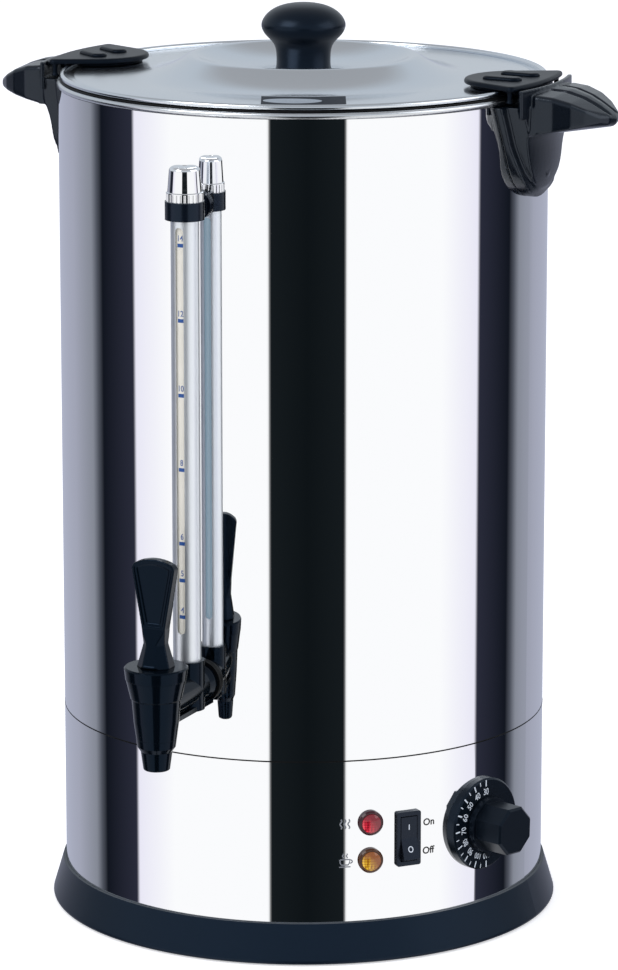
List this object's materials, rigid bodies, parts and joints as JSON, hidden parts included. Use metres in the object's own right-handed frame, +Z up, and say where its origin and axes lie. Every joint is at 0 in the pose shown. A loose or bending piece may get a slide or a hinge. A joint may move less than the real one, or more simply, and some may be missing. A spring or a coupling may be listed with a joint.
{
  "type": "hot_water_urn",
  "caption": "Double-walled polished steel hot water urn with a tilting tap, a sight gauge, a dial thermostat and a twist lock lid",
  "frame": {"origin": "the centre of the underside of the non-slip ring, on the urn's axis, where it stands on a table", "axes": "+Z points up along the urn's axis; the tap and the sight gauge face -Y; the handles lie on +X and -X; +Y is the back"},
  "size_m": [0.3734, 0.3564, 0.5147],
  "materials": {
    "polished_steel": "mirror polished stainless steel",
    "brushed_lid_steel": "satin stainless steel",
    "gauge_aluminium": "satin anodised aluminium tube",
    "cap_chrome": "bright chrome",
    "clear_glass": "clear glass",
    "black_plastic": "moulded black plastic, slight sheen",
    "handle_plastic": "moulded black heat-proof plastic",
    "tap_plastic": "glossy black plastic",
    "black_rubber": "black rubber",
    "seal_rubber": "red-brown silicone rubber",
    "silicone": "translucent silicone",
    "red_lens": "red translucent lens",
    "amber_lens": "amber translucent lens",
    "screw_steel": "plated steel",
    "zinc_sheet": "galvanised sheet steel",
    "aluminium_plate": "cast aluminium",
    "element_sheath": "heat-stained steel sheath",
    "control_plastic": "pale moulded control parts",
    "copper_brass": "brass and copper",
    "pin_metal": "nickel-plated brass"
  },
  "bodies": {
    "urn": {"base_ring": "black_plastic", "skid_ring": "black_rubber", "base_plate": "zinc_sheet", "base_screws": "screw_steel", "lower_band": "polished_steel", "outer_wall": "polished_steel", "tank": "polished_steel", "heater_plate": "aluminium_plate", "heater_element": "element_sheath", "thermal_cutouts": "control_plastic", "thermostat_body": "control_plastic", "thermostat_nut": "screw_steel", "thermostat_bulb": "copper_brass", "terminal_block": "control_plastic", "dial_plate": "black_plastic", "switch_housing": "black_plastic", "switch_terminals": "copper_brass", "red_lamp_body": "black_plastic", "red_lamp_lens": "red_lens", "amber_lamp_body": "black_plastic", "amber_lamp_lens": "amber_lens", "power_inlet": "black_plastic", "inlet_pins": "pin_metal", "inlet_screws": "screw_steel", "handle_left": "handle_plastic", "handle_right": "handle_plastic", "handle_screws": "screw_steel", "tap_body": "tap_plastic", "tap_spout": "tap_plastic", "tap_wall_washer": "black_rubber", "tap_inner_seal": "seal_rubber", "tap_nut": "screw_steel", "tap_bonnet": "tap_plastic", "seat_cup": "silicone", "gauge_lower_seal": "black_rubber", "gauge_glass": "clear_glass", "gauge_guard": "gauge_aluminium", "gauge_upper_seal": "black_rubber", "gauge_cap": "cap_chrome", "gauge_bracket": "black_plastic", "bracket_screw": "screw_steel"},
    "gasket": {"lid_gasket": "black_rubber"},
    "lid": {"lid_shell": "brushed_lid_steel", "lid_knob": "black_plastic", "knob_screw": "screw_steel", "lid_lock_left": "handle_plastic", "lid_lock_right": "handle_plastic", "lock_screws": "screw_steel"},
    "lever": {"tap_lever": "tap_plastic", "lever_pin": "screw_steel"},
    "stem": {"tap_stem": "copper_brass"},
    "thermostat_dial": {"thermostat_knob": "black_plastic", "thermostat_shaft": "screw_steel"},
    "power_rocker": {"rocker": "black_plastic"}
  },
  "joints": [
    {"name": "lid_lift", "type": "slide", "parent": "urn", "child": "gasket", "axis": [0, 0, 1], "range_m": [0, 0.15]},
    {"name": "lid_turn", "type": "hinge", "parent": "gasket", "child": "lid", "pos_m": [0, 0, 0.4735], "axis": [0, 0, 1], "range_deg": [0, 13.5]},
    {"name": "lever_tilt", "type": "hinge", "parent": "urn", "child": "lever", "pos_m": [0, -0.2031, 0.181], "axis": [1, 0, 0], "range_deg": [0, 30], "stiffness_Nm_per_rad": 0.05},
    {"name": "stem_slide", "type": "slide", "parent": "urn", "child": "stem", "axis": [0, 0, 1], "range_m": [0, 0.00408], "deforming": ["seat_cup"]},
    {"name": "knob_turn", "type": "hinge", "parent": "urn", "child": "thermostat_dial", "pos_m": [0.1289, -0.04641, 0.068], "axis": [0.9409, -0.3387, 0], "range_deg": [-177.5, 2.5]},
    {"name": "rocker_tip", "type": "hinge", "parent": "urn", "child": "power_rocker", "pos_m": [0.10292, -0.09042, 0.068], "axis": [0.66, 0.7513, 0], "range_deg": [0, 20]}
  ],
  "couplings": [
    {"joint": "lever_tilt", "follows": "stem_slide", "rad_per_m": 128.2}
  ]
}
